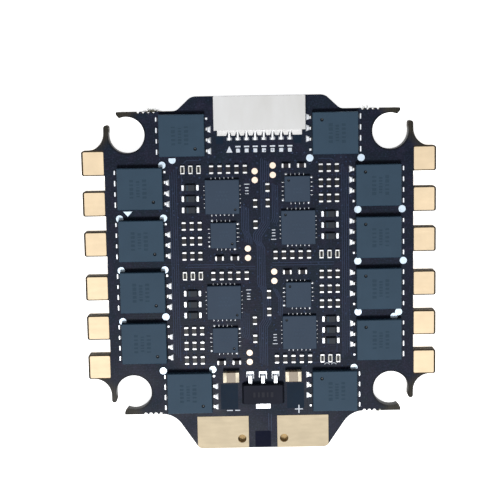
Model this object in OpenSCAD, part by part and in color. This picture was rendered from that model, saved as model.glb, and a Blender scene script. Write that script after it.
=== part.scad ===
// Four-channel electronic speed controller board for a quadcopter.
// Origin: centre of the mounting-hole square, on the underside of the laminate.
// +X to the right, +Y towards the signal connector, +Z out of the top face.

/* [Board] */
// Thickness of the laminate
board_t = 1.6; // [1.4:0.1:1.8]
// Width of the board between its motor tabs
board_w = 35.8; // [35.7:0.1:36]
// Width over the ends of the motor tabs
tabs_w = 41.1; // [40.9:0.1:41.5]
// Distance from the centre to the connector edge
front_y = 19.55; // [19.5:0.05:19.7]
// Distance from the centre to the battery edge
rear_y = 22.2; // [22.1:0.1:22.5]
// Distance from the centre to the stepped edges beside both ends
ear_y = 17.9; // [17.85:0.05:18]

/* [Mounting holes] */
// Spacing of the mounting holes, the same both ways
hole_pitch = 30.5; // [30.4:0.1:30.6]
// Radius of the mounting holes, sized for soft grommets
hole_r = 2.1; // [2:0.05:2.15]
// Opening of each hole towards its corner, in degrees
hole_gap = 56; // [48:1:60]

/* [Motor tabs] */
// Length of a tab along the side of the board
tab_l = 2.9; // [2.6:0.1:3]
// Spacing of the three tabs of one motor
tab_pitch = 4.72; // [4.6:0.02:4.8]
// Spacing of the two tabs either side of the middle
tab_mid_pitch = 5.2; // [5:0.1:5.4]
// Thickness of the plated copper pads
pad_t = 0.06; // [0.04:0.01:0.1]
// Bare laminate around the copper on a tab
tab_margin = 0.12; // [0.08:0.02:0.2]

/* [Battery pads] */
// Width of a battery pad
battery_pad_w = 6.1; // [5.8:0.1:6.2]
// Length of a battery pad, in from the battery edge
battery_pad_l = 3.9; // [3.6:0.1:4.1]
// Gap between the two battery pads
battery_gap = 3.4; // [3.2:0.1:3.8]
// Radius of the plated hole in each battery pad
battery_hole_r = 0.5; // [0.4:0.05:0.6]

/* [Power transistors] */
// Width of a transistor's body, across its two rows of leads
mosfet_w = 5.3; // [5:0.1:5.4]
// Length of a transistor's body, along its rows of leads
mosfet_l = 4.85; // [4.7:0.05:4.9]
// Height of a transistor's body
mosfet_h = 1.0; // [0.9:0.05:1.1]
// Half spacing of the two side columns
mosfet_col_x = 13.8; // [13.7:0.05:13.9]
// Spacing of the transistors along a column
mosfet_pitch = 6.07; // [6:0.01:6.1]
// Spacing of the leads along a transistor
mosfet_lead_pitch = 1.25; // [1.2:0.01:1.27]

/* [Chips] */
// Side of a gate driver's body
driver_side = 4.0; // [3.9:0.1:4.1]
// Height of a gate driver's body
driver_h = 0.55; // [0.5:0.05:0.9]
// Side of a microcontroller's body
mcu_side = 3.0; // [2.9:0.1:3.1]
// Height of a microcontroller's body
mcu_h = 0.55; // [0.5:0.05:0.9]
// Length of a small resistor or capacitor
small_l = 1.0; // [0.9:0.05:1.05]
// Width of a small resistor or capacitor
small_w = 0.5; // [0.45:0.05:0.55]
// Height of a small capacitor
small_cap_h = 0.5; // [0.4:0.05:0.6]
// Height of a small resistor
small_res_h = 0.35; // [0.3:0.05:0.4]
// Height of the large capacitors
large_cap_h = 0.95; // [0.8:0.05:0.95]

/* [Regulator and shunt] */
// Width of the voltage regulator's body
regulator_w = 5; // [4.6:0.1:5.2]
// Height of the voltage regulator's body
regulator_h = 0.9; // [0.8:0.1:1.5]
// Width of the current shunt over its ends
shunt_w = 6.4; // [6.2:0.1:6.6]
// Height of the current shunt
shunt_h = 0.7; // [0.5:0.05:0.85]

/* [Signal connector] */
// Number of contacts
contacts = 8; // [6:1:8]
// Spacing of the contacts
contact_pitch = 1.0; // [0.9:0.05:1.05]
// Width of the housing
conn_w = 10.4; // [10.2:0.1:10.6]
// Height of the housing
conn_h = 2.95; // [2.8:0.05:3.1]
// Depth of the housing from its mouth
conn_d = 3.85; // [3.8:0.05:4]
// Depth of the low ledge behind the housing
ledge_d = 0.65; // [0.5:0.05:0.7]

/* [Hidden] */
$fn = 48;
eps = 0.01;

MOSFETS = 12;
CHANNELS = 4;
MOTORS = ["front_left", "front_right", "rear_left", "rear_right"];

board_colour = [0.12, 0.14, 0.2];
gold_colour = [0.93, 0.8, 0.6];
solder_colour = [0.85, 0.87, 0.9];
chip_colour = [0.24, 0.3, 0.37];
white_colour = [0.92, 0.92, 0.92];
brown_colour = [0.55, 0.47, 0.38];

hole_at = hole_pitch / 2;
// Direction of the middle of each hole's opening, from the side of the board
hole_gap_mid = 40;
// The ear beside each end runs this far out from the centre
front_shoulder_x = 9.95;
rear_shoulder_x = 12;
// Slope of the straight stretch of each shoulder, and its inner and outer radii
front_slope = 43;
front_radii = [1.2, 1.2];
rear_slope = 56;
rear_radii = [2.8, 0.8];
// The two arms that reach round an open mounting hole
side_arm_y = 16.1;
end_arm_x = 16.4;
arm_tip_r = 0.3;
web_r = 2;
// Stubs of the break-off perforation on the ears
bite_r = 0.2;
bite_x = 12.1;
bite_pitch = 0.6;
bites = 4;

tab_root = 0.5;
tab_end_margin = 0.2;
tab_corner_r = 0.25;
tab_end_y = tab_mid_pitch / 2 + 2 * tab_pitch + tab_l / 2;

plating_t = 0.05;
battery_hole_x = 2.5;
battery_hole_y = -21.07;

mosfet = [mosfet_w, mosfet_l, mosfet_h];
// The side columns sit this far from the middle, measured along them
mosfet_col_y = -0.05;
mosfet_front = [8.84, 15.12];
mosfet_rear = [8.58, -15.23];
lead_h = 0.22;
source_lead = [0.72, 0.78];
gate_lead = [0.35, 0.4];
drain_lead = [0.42, 0.55];
mosfet_dimple_r = 0.2;
mosfet_dimple_inset = [1.1, 0.88];
small_dimple_r = 0.16;
small_dimple_inset = 0.5;
dimple_d = 0.06;

// Each channel is the same layout, turned half a turn on the other side of the middle line
channel_pitch = 12.44;
channel_mid = [0.08, -0.12];
driver = [driver_side, driver_h];
mcu = [mcu_side, mcu_h];
driver_at = [-4.4, 1.85];
mcu_at = [-4.33, -2.65];
qfn_pitch = 0.5;
driver_pins = 6;
mcu_pins = 4;
pin_w = 0.26;
pin_out = 0.16;
pin_h = 0.2;
corner_pin = 0.4;

small_cap = [small_l, small_w, small_cap_h];
small_res = [small_l, small_w, small_res_h];
large_cap = [1.9, 1.2, large_cap_h];
diode = [1.2, 0.8, 0.4];
cap_row_at = [-3.65, 5.03];
cap_row_pitch = 0.975;
caps_in_row = 5;
side_cap_x = [-4.85, -3.05];
side_cap_y = -5.35;
frame_res_at = [-8, 5.05];
grid_at = [-8, -3.28];
grid_pitch = [0.93, 1.76];
diode_at = [-8.1, 1.65];
diode_pitch = 1.3;
diode_lead = [0.42, 0.64, 0.2];
signal_res_at = [[-0.5, 7.12], [-0.5, 4.65], [0.95, 8.95], [0.95, 7.15],
                 [-0.75, -6.72], [-0.75, -8.9], [0.95, -3.6], [0.95, -5.7]];
chip_end = 0.22;
large_end = 0.45;

test_pad_r = 0.36;
test_pad_at = [[-1.52, -4.28], [-1.52, -5.38]];
front_test_pad_at = [[-0.5, 10.85], [-0.5, 9.82]];

dot_r = 0.42;
dot_h = 0.12;
left_dot_at = [[-11.22, 11.72], [-16.3, 5.56], [-11.2, 5.56], [-16.3, -0.53], [-11.2, -0.53],
               [-16.3, -6.6], [-11.22, -6.12]];
right_dot_at = [[11.42, 6.2], [16.58, 6.2], [11.4, 0.14], [16.72, 0.12], [11.4, -5.92],
                [16.17, -5.98], [15.62, -6.52]];
corner_dot_at = [[5.9, 12.28], [11.84, 12.22], [-5.83, -12.55], [-11.7, -12.62],
                 [10.88, -12.6]];
// A dot whose far side ends straight at the edge of its opening
flat_dot_at = [-10.02, 12.3];
flat_dot_edge = 0.2;
// A three-sided patch of solder between the first two transistors of the left column
solder_patch_at = [-15.34, 6.4];
solder_patch = [1.06, 0.6];

large_cap_at = [3.68, -13.39];
under_cap_x = 4.4;
under_cap_y = [-7.5, -2.5, 2.5, 7.5];
regulator = [regulator_w, 2.4, regulator_h];
shunt = [shunt_w, 3.2, shunt_h];
regulator_at = [0.08, -15.53];
regulator_lead = [0.42, 1.0, 0.4];
regulator_tab = [1.76, 0.6, 0.4];
regulator_lead_pitch = 1.5;
shunt_y = -15.2;
shunt_end = 1.1;

// The connector sits this far off the middle
conn_x = 0.12;
ledge_w = 9.7;
ledge_h = 1.7;
mouth_w = 8.8;
mouth_h = 1.85;
mouth_z = 0.6;
mouth_d = 3.0;
key_w = 0.7;
key_inset = 1.1;
notch_w = 0.6;
blade = [0.22, 0.25];
blade_z = 1.35;
blade_end_inset = 0.8;
foot_l = 0.85;
// Gap between the back of the ledge and a contact's riser
riser_inset = 0.25;
notch_end_inset = 0.15;
hold_down = [0.5, 1.5, 0.25];
hold_down_inset = 2.6;

// ---- Placing ----

module both_sides() {
    children();
    mirror([1, 0, 0]) children();
}

module on_top() translate([0, 0, board_t]) children();

module on_underside() mirror([0, 0, 1]) children();

// Places a piece at one channel: 0 and 1 are nearer the connector, 1 and 3 are on the right
module at_channel(i)
    translate([channel_mid[0], channel_mid[1] + (0.5 - floor(i / 2)) * channel_pitch, 0])
        rotate(180 * (i % 2)) children();

// Repeats a piece in the same place of all four channels
module at_channels()
    for (i = [0:CHANNELS - 1]) at_channel(i) children();

// Transistors 0 to 7 stand in the side columns, 8 and 9 beside the connector, 10 and 11 by the battery pads
function mosfet_right(i) = i % 2 == 1;
function mosfet_xy(i) =
    i < 8 ? [mosfet_col_x, mosfet_col_y + (1.5 - floor(i / 2)) * mosfet_pitch]
          : i < 10 ? mosfet_front : mosfet_rear;

module at_mosfet(i) {
    xy = mosfet_xy(i);
    translate([mosfet_right(i) ? xy[0] : -xy[0], xy[1], 0]) rotate(mosfet_right(i) ? 180 : 0) children();
}

// ---- Board ----

// Half of one end of the board, in the quarter where X and Y are positive
module end_quarter(edge_y, shoulder_x, slope, radii) {
    inner = [shoulder_x, ear_y + radii[0]];
    foot = inner + radii[0] * [-sin(slope), -cos(slope)];
    outer_y = edge_y - radii[1];
    outer = [foot[0] - (radii[1] - (foot[1] - outer_y) * cos(slope)) / sin(slope), outer_y];
    head = outer + radii[1] * [sin(slope), cos(slope)];
    difference() {
        polygon([[0, 0], [shoulder_x, 0], [shoulder_x, ear_y], inner, foot, head, outer, [outer[0], edge_y],
                 [0, edge_y]]);
        translate(inner) circle(radii[0]);
    }
    translate(outer) circle(radii[1]);
}

// Tab with its two outer corners rounded
module tab_shape(half_w) {
    translate([0, -tab_l / 2]) square([half_w - tab_corner_r, tab_l]);
    translate([0, -tab_l / 2 + tab_corner_r]) square([half_w, tab_l - 2 * tab_corner_r]);
    for (s = [-1, 1])
        translate([half_w - tab_corner_r, s * (tab_l / 2 - tab_corner_r)]) circle(tab_corner_r);
}

module tabs_quarter()
    for (k = [0:2]) translate([0, tab_mid_pitch / 2 + k * tab_pitch]) tab_shape(tabs_w / 2);

// Web that joins the last tab to the arm beside the mounting hole
module web_quarter()
    translate([board_w / 2 - tab_root, tab_end_y - tab_root]) difference() {
        square([web_r + tab_root, web_r + tab_root]);
        translate([web_r + tab_root, web_r + tab_root]) circle(web_r);
    }

// Everything beyond the arms at one corner of the board
module corner_opening() {
    from = hole_gap_mid - hole_gap / 2;
    to = hole_gap_mid + hole_gap / 2;
    centre = [hole_at, hole_at];
    inner_from = centre + hole_r * [cos(from), sin(from)];
    inner_to = centre + hole_r * [cos(to), sin(to)];
    beyond = board_w;
    polygon([centre, inner_from, [inner_from[0], side_arm_y], [beyond, side_arm_y], [beyond, beyond],
             [end_arm_x, beyond], [end_arm_x, ear_y - arm_tip_r], inner_to]);
}

module side_arm_tip() {
    r = (board_w / 2 - (hole_at + hole_r * cos(hole_gap_mid - hole_gap / 2))) / 2;
    translate([board_w / 2 - r, side_arm_y]) circle(r);
}

module perforation_stubs()
    for (k = [0:bites - 1]) translate([bite_x + k * bite_pitch, ear_y]) circle(bite_r);

module board_quarter(edge_y, shoulder_x, slope, radii) {
    difference() {
        union() {
            square([board_w / 2, ear_y]);
            end_quarter(edge_y, shoulder_x, slope, radii);
            tabs_quarter();
            web_quarter();
        }
        translate([hole_at, hole_at]) circle(hole_r);
        corner_opening();
        perforation_stubs();
    }
    side_arm_tip();
}

module board_outline()
    both_sides() {
        board_quarter(front_y, front_shoulder_x, front_slope, front_radii);
        mirror([0, 1, 0]) board_quarter(rear_y, rear_shoulder_x, rear_slope, rear_radii);
    }

module battery_hole(r) translate([battery_hole_x, battery_hole_y]) circle(r);

module circuit_board()
    color(board_colour) linear_extrude(board_t) difference() {
        board_outline();
        both_sides() battery_hole(battery_hole_r + plating_t);
    }

// ---- Plated pads ----

module motor_pad()
    translate([board_w / 2 + tab_margin / 2, -tab_l / 2 + tab_margin])
        cube([(tabs_w - board_w) / 2 - tab_end_margin - tab_margin / 2, tab_l - 2 * tab_margin, pad_t]);

// The three pads of one motor, on both faces of the board
module motor_pads(right, rear)
    color(gold_colour) mirror([right ? 0 : 1, 0, 0]) mirror([0, rear ? 1 : 0, 0])
        for (k = [0:2]) translate([0, tab_mid_pitch / 2 + k * tab_pitch, 0]) {
            on_top() motor_pad();
            on_underside() motor_pad();
        }

module battery_plate()
    linear_extrude(pad_t) difference() {
        intersection() {
            translate([battery_gap / 2, -rear_y]) square([battery_pad_w, battery_pad_l]);
            board_outline();
        }
        battery_hole(battery_hole_r);
    }

// One battery pad: a plate on each face and the plated hole that joins them
module battery_pad(right)
    color(gold_colour) mirror([right ? 0 : 1, 0, 0]) {
        on_top() battery_plate();
        on_underside() battery_plate();
        translate([0, 0, -pad_t]) linear_extrude(board_t + 2 * pad_t) difference() {
            battery_hole(battery_hole_r + plating_t);
            battery_hole(battery_hole_r);
        }
    }

module test_pads()
    color(gold_colour) on_top() {
        at_channels() for (p = test_pad_at) translate(p) cylinder(h = pad_t, r = test_pad_r);
        for (p = front_test_pad_at) translate(p) cylinder(h = pad_t, r = test_pad_r);
    }

// Domed solder on the filled vias between the transistors
module solder_dot() cylinder(h = dot_h, r = dot_r);

module flat_dot()
    translate(flat_dot_at) linear_extrude(dot_h) intersection() {
        circle(dot_r);
        translate([-dot_r, flat_dot_edge - 2 * dot_r]) square(2 * dot_r);
    }

module solder_dots()
    color(solder_colour) on_top() difference() {
        union() {
            for (p = concat(left_dot_at, right_dot_at, corner_dot_at)) translate(p) solder_dot();
            flat_dot();
            translate(solder_patch_at) linear_extrude(dot_h)
                polygon([[-solder_patch[0] / 2, 0], [0, -solder_patch[1]], [solder_patch[0] / 2, 0]]);
        }
        for (i = [0:MOSFETS - 1]) at_mosfet(i) translate([-mosfet[0] / 2, -mosfet[1] / 2, -eps])
            cube([mosfet[0], mosfet[1], dot_h + 2 * eps]);
    }

// ---- Power transistors ----

module mosfet_body()
    color(chip_colour) difference() {
        translate([-mosfet[0] / 2, -mosfet[1] / 2, 0]) cube(mosfet);
        translate([mosfet[0] / 2 - mosfet_dimple_inset[0], mosfet_dimple_inset[1] - mosfet[1] / 2,
                   mosfet[2] - dimple_d])
            cylinder(h = dimple_d + eps, r = mosfet_dimple_r);
    }

module mosfet_top(i) on_top() at_mosfet(i) mosfet_body();

module mosfet_under(i) on_underside() at_mosfet(i) mosfet_body();

// Source and gate leads towards the inside, drain leads towards the outside
module mosfet_leads()
    for (k = [0:3]) {
        y = (k - 1.5) * mosfet_lead_pitch;
        inner = k == 3 ? gate_lead : source_lead;
        translate([mosfet[0] / 2, y - inner[1] / 2, 0]) cube([inner[0], inner[1], lead_h]);
        translate([-mosfet[0] / 2 - drain_lead[0], y - drain_lead[1] / 2, 0])
            cube([drain_lead[0], drain_lead[1], lead_h]);
    }

module mosfet_leads_top()
    color(solder_colour) on_top() for (i = [0:MOSFETS - 1]) at_mosfet(i) mosfet_leads();

module mosfet_leads_under()
    color(solder_colour) on_underside() for (i = [0:MOSFETS - 1]) at_mosfet(i) mosfet_leads();

// ---- Gate drivers and microcontrollers ----

// Square flat package of side and height s, with its pin-1 dimple
module flat_package(s)
    color(chip_colour) difference() {
        translate([-s[0] / 2, -s[0] / 2, 0]) cube([s[0], s[0], s[1]]);
        translate([s[0] / 2 - small_dimple_inset, small_dimple_inset - s[0] / 2, s[1] - dimple_d])
            cylinder(h = dimple_d + eps, r = small_dimple_r);
    }

// Soldered terminals that show along the four sides of a flat package
module flat_terminals(side, pins)
    for (turn = [0:3], k = [0:pins - 1])
        rotate(90 * turn) translate([side / 2, (k - (pins - 1) / 2) * qfn_pitch - pin_w / 2, 0])
            cube([pin_out, pin_w, pin_h]);

module gate_driver(i) on_top() at_channel(i) translate(driver_at) flat_package(driver);

module gate_driver_terminals()
    color(solder_colour) on_top() at_channels() translate(driver_at) flat_terminals(driver[0], driver_pins);

module microcontroller(i) on_top() at_channel(i) translate(mcu_at) flat_package(mcu);

module microcontroller_terminals()
    color(solder_colour) on_top() at_channels() translate(mcu_at) {
        flat_terminals(mcu[0], mcu_pins);
        for (turn = [0:3]) rotate(90 * turn)
            translate([mcu[0] / 2, mcu[0] / 2 - corner_pin, 0]) cube([pin_out, corner_pin, pin_h]);
    }

// ---- Small chips ----

// Body of a two-terminal chip of size s, between metal ends of length e
module chip_body(s, e) translate([e - s[0] / 2, -s[1] / 2, 0]) cube([s[0] - 2 * e, s[1], s[2]]);

module chip_ends(s, e)
    for (x = [-s[0] / 2, s[0] / 2 - e]) translate([x, -s[1] / 2, 0]) cube([e, s[1], s[2]]);

module at_small_caps()
    at_channels() {
        for (k = [0:caps_in_row - 1])
            translate([cap_row_at[0] + (k - (caps_in_row - 1) / 2) * cap_row_pitch, cap_row_at[1], 0])
                rotate(90) children();
        for (x = side_cap_x) translate([x, side_cap_y, 0]) children();
    }

module at_small_resistors() {
    at_channels() for (k = [-1:1]) {
        translate([frame_res_at[0] + k * grid_pitch[0], frame_res_at[1], 0]) rotate(90) children();
        for (j = [-1:1])
            translate([grid_at[0] + k * grid_pitch[0], grid_at[1] + j * grid_pitch[1], 0])
                rotate(90) children();
    }
    for (p = signal_res_at) translate(p) rotate(90) children();
}

module small_capacitors() color(brown_colour) on_top() at_small_caps() chip_body(small_cap, chip_end);

module small_resistors() color("dimgray") on_top() at_small_resistors() chip_body(small_res, chip_end);

module small_chip_ends()
    color(solder_colour) on_top() {
        at_small_caps() chip_ends(small_cap, chip_end);
        at_small_resistors() chip_ends(small_res, chip_end);
    }

module at_large_caps() {
    on_top() both_sides() translate(large_cap_at) children();
    on_underside() both_sides() for (y = under_cap_y) translate([under_cap_x, y, 0]) children();
}

module large_capacitors() color(brown_colour) at_large_caps() chip_body(large_cap, large_end);

module large_capacitor_ends() color(solder_colour) at_large_caps() chip_ends(large_cap, large_end);

module at_diodes()
    on_top() at_channels() for (k = [-1:1])
        translate([diode_at[0], diode_at[1] + k * diode_pitch, 0]) children();

module bootstrap_diodes()
    color(chip_colour) at_diodes() translate([-diode[0] / 2, -diode[1] / 2, 0]) cube(diode);

module bootstrap_diode_leads()
    color(solder_colour) at_diodes() both_sides()
        translate([diode[0] / 2, -diode_lead[1] / 2, 0]) cube(diode_lead);

// ---- Regulator and current shunt ----

module regulator_body()
    color(chip_colour) on_top() translate(regulator_at)
        translate([-regulator[0] / 2, -regulator[1] / 2, 0]) cube(regulator);

// Three flat leads towards the middle of the board and the wide tab on the other side
module regulator_leads()
    color(solder_colour) on_top() translate(regulator_at) {
        for (k = [-1:1])
            translate([k * regulator_lead_pitch - regulator_lead[0] / 2, regulator[1] / 2, 0])
                cube(regulator_lead);
        translate([-regulator_tab[0] / 2, -regulator[1] / 2 - regulator_tab[1], 0]) cube(regulator_tab);
    }

module current_shunt()
    color("dimgray") on_underside() translate([0, shunt_y, 0]) chip_body(shunt, shunt_end);

module current_shunt_ends()
    color(solder_colour) on_underside() translate([0, shunt_y, 0]) chip_ends(shunt, shunt_end);

// ---- Signal connector ----

module at_connector() on_top() translate([conn_x, 0, 0]) children();

module at_contacts()
    for (k = [0:contacts - 1])
        translate([(k - (contacts - 1) / 2) * contact_pitch, 0, 0]) children();

// Contact with its blade in the mouth, its riser in the ledge and its foot on the board
module contact_shape() {
    riser_y = front_y - conn_d - ledge_d + riser_inset;
    blade_end = front_y - blade_end_inset;
    translate([-blade[0] / 2, riser_y, blade_z]) cube([blade[0], blade_end - riser_y, blade[1]]);
    translate([-blade[0] / 2, riser_y, 0]) cube([blade[0], blade[1], blade_z + eps]);
    translate([-blade[0] / 2, riser_y - foot_l, 0]) cube([blade[0], foot_l + eps, blade[1]]);
}

module housing_shell() {
    translate([-conn_w / 2, front_y - conn_d, 0]) cube([conn_w, conn_d, conn_h]);
    translate([-ledge_w / 2, front_y - conn_d - ledge_d, 0]) cube([ledge_w, ledge_d + eps, ledge_h]);
}

// Opening for the plug, with a key slot near each end
module housing_mouth() {
    y = front_y - mouth_d;
    translate([-mouth_w / 2, y, mouth_z]) cube([mouth_w, mouth_d + eps, mouth_h]);
    for (s = [-1, 1])
        translate([s * (mouth_w / 2 - key_inset) - key_w / 2, y, mouth_z / 2])
            cube([key_w, mouth_d + eps, mouth_h]);
}

module ledge_notch() {
    y = front_y - conn_d - ledge_d;
    end_y = y + ledge_d - notch_end_inset;
    translate([0, 0, -eps]) linear_extrude(ledge_h + 2 * eps)
        polygon([[-notch_w / 2, y - eps], [notch_w / 2, y - eps],
                 [blade[0] / 2, end_y], [-blade[0] / 2, end_y]]);
}

module hold_down_shape()
    both_sides() translate([conn_w / 2 - hold_down[0], front_y - hold_down_inset, 0]) cube(hold_down);

module connector_housing()
    color(white_colour) at_connector() difference() {
        housing_shell();
        housing_mouth();
        at_contacts() ledge_notch();
        at_contacts() contact_shape();
        hold_down_shape();
    }

module connector_contacts() color(solder_colour) at_connector() at_contacts() contact_shape();

module connector_hold_downs() color(solder_colour) at_connector() hold_down_shape();

// ---- Assembly ----

circuit_board();
motor_pads(false, false);  // motor_pads_front_left
motor_pads(true, false);  // motor_pads_front_right
motor_pads(false, true);  // motor_pads_rear_left
motor_pads(true, true);  // motor_pads_rear_right
battery_pad(false);  // battery_pad_negative
battery_pad(true);  // battery_pad_positive
for (i = [1:MOSFETS]) mosfet_top(i - 1);
for (i = [1:MOSFETS]) mosfet_under(i - 1);
mosfet_leads_top();
mosfet_leads_under();
for (i = [1:CHANNELS]) gate_driver(i - 1);
for (i = [1:CHANNELS]) microcontroller(i - 1);
gate_driver_terminals();
microcontroller_terminals();
connector_housing();
connector_contacts();
connector_hold_downs();
regulator_body();
regulator_leads();
large_capacitors();
large_capacitor_ends();
bootstrap_diodes();
bootstrap_diode_leads();
small_capacitors();
small_resistors();
small_chip_ends();
test_pads();
solder_dots();
current_shunt();
current_shunt_ends();
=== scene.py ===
import math
import random

import bmesh
import bpy
from mathutils import Matrix, Vector


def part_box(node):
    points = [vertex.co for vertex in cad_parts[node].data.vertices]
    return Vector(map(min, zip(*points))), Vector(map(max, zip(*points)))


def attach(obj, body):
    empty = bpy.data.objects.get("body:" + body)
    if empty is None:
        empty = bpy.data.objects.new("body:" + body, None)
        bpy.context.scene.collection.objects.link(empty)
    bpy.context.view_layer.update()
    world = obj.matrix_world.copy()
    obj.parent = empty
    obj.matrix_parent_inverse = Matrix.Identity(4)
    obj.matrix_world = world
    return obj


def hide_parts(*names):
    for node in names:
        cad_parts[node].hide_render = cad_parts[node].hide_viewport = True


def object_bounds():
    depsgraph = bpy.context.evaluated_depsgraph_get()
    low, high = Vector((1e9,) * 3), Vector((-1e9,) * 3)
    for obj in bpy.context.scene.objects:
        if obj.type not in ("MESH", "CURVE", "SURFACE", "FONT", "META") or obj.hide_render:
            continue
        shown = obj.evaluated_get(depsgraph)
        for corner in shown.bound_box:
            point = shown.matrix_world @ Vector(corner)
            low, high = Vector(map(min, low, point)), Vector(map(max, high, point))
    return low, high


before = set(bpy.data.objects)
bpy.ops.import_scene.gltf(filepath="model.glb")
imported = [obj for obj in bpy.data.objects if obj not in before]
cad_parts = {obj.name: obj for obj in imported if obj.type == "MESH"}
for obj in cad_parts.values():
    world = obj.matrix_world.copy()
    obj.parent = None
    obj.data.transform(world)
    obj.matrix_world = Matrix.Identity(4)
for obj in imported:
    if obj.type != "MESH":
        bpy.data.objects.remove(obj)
cad_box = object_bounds()

MM = 0.001
CORNER_STEPS = 3

board_low, board_high = (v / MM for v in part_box("circuit_board"))
TOP = board_high.z
UNDER = board_low.z


# ---- Reading the frame ----

def solids(node):
    """The boxes of a CAD node's separate solids, as (low, high) in millimetres."""
    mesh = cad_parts[node].data
    place = [tuple(round(c / MM, 4) for c in v.co) for v in mesh.vertices]
    leader = {p: p for p in place}

    def find(p):
        while leader[p] != p:
            leader[p] = leader[leader[p]]
            p = leader[p]
        return p

    for face in mesh.polygons:
        first = find(place[face.vertices[0]])
        for v in face.vertices[1:]:
            leader[find(place[v])] = first
    groups = {}
    for p in leader:
        groups.setdefault(find(p), []).append(p)
    boxes = [tuple(Vector(pick(c) for c in zip(*group)) for pick in (min, max))
             for group in groups.values()]
    return sorted(boxes, key=lambda b: tuple(b[0]))


def middle(box):
    return (box[0] + box[1]) / 2


def size(box):
    return box[1] - box[0]


def whole(node):
    return tuple(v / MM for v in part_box(node))


def as_on_top(box, below=True):
    """The box as it would lie on the top face, for a solid on the underside."""
    if not below:
        return box
    across = TOP + UNDER
    return (Vector((box[0].x, box[0].y, across - box[1].z)),
            Vector((box[1].x, box[1].y, across - box[0].z)))


# ---- Building meshes ----

class Shape:
    """Faces in millimetres, gathered until they become one piece."""

    def __init__(self):
        self.points = []
        self.faces = []

    def ring(self, points):
        start = len(self.points)
        self.points += [Vector(p) for p in points]
        return list(range(start, start + len(points)))

    def face(self, corners, finish=0, smooth=False):
        self.faces.append((corners, finish, smooth))

    def join(self, lower, upper, finish=0, smooth=False):
        for i in range(len(lower)):
            j = (i + 1) % len(lower)
            self.face([lower[i], lower[j], upper[j], upper[i]], finish, smooth)

    def loft(self, rings, finish=0, smooth=False, lid=True):
        loops = [self.ring(points) for points in rings]
        for lower, upper in zip(loops, loops[1:]):
            self.join(lower, upper, finish, smooth)
        self.face(loops[0][::-1], finish)
        if lid:
            self.face(loops[-1], finish, smooth)
        return loops[-1]

    def flip(self):
        """The same shape seen in a mirror that lies in the middle of the board."""
        across = TOP + UNDER
        self.points = [Vector((p.x, p.y, across - p.z)) for p in self.points]
        self.faces = [(corners[::-1], finish, smooth) for corners, finish, smooth in self.faces]
        return self

    def merge(self, other):
        shift = len(self.points)
        self.points += other.points
        self.faces += [([i + shift for i in corners], finish, smooth)
                       for corners, finish, smooth in other.faces]


def rounded(cx, cy, hx, hy, r, z, steps=CORNER_STEPS, extra=0):
    """A ring round a rectangle with rounded corners, with extra points along each side."""
    r = min(r, hx * 0.999, hy * 0.999)
    corners = []
    for quarter, (sx, sy) in enumerate(((1, 1), (-1, 1), (-1, -1), (1, -1))):
        for step in range(steps + 1):
            a = math.radians(90 * (quarter + step / steps))
            corners.append(Vector((cx + sx * (hx - r) + r * math.cos(a),
                                   cy + sy * (hy - r) + r * math.sin(a), z)))
    ring = []
    for i, p in enumerate(corners):
        ring.append(p)
        if (i + 1) % (steps + 1) == 0:
            q = corners[(i + 1) % len(corners)]
            ring += [p.lerp(q, k / (extra + 1)) for k in range(1, extra + 1)]
    return ring


def circle_ring(cx, cy, r, z, n=24):
    turns = [math.tau * i / n for i in range(n)]
    return [Vector((cx + r * math.cos(a), cy + r * math.sin(a), z)) for a in turns]


def piece(name, shape, finishes, replaces=()):
    """Makes the gathered shape one piece of the object."""
    mesh = bpy.data.meshes.new(name)
    mesh.from_pydata([p * MM for p in shape.points], [], [f[0] for f in shape.faces])
    for polygon, (_, finish, smooth) in zip(mesh.polygons, shape.faces):
        polygon.material_index = finish
        polygon.use_smooth = smooth
    for finish in finishes:
        mesh.materials.append(finish)
    mesh.validate()
    obj = bpy.data.objects.new(name, mesh)
    bpy.context.scene.collection.objects.link(obj)
    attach(obj, "root")
    if replaces:
        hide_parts(*replaces)
    return obj


# ---- Materials ----

def srgb(r, g, b):
    """A colour given in 0 to 255 display values, as the linear values that shaders use."""
    def linear(c):
        c /= 255
        return c / 12.92 if c <= 0.04045 else ((c + 0.055) / 1.055) ** 2.4
    return (linear(r), linear(g), linear(b), 1.0)


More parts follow.
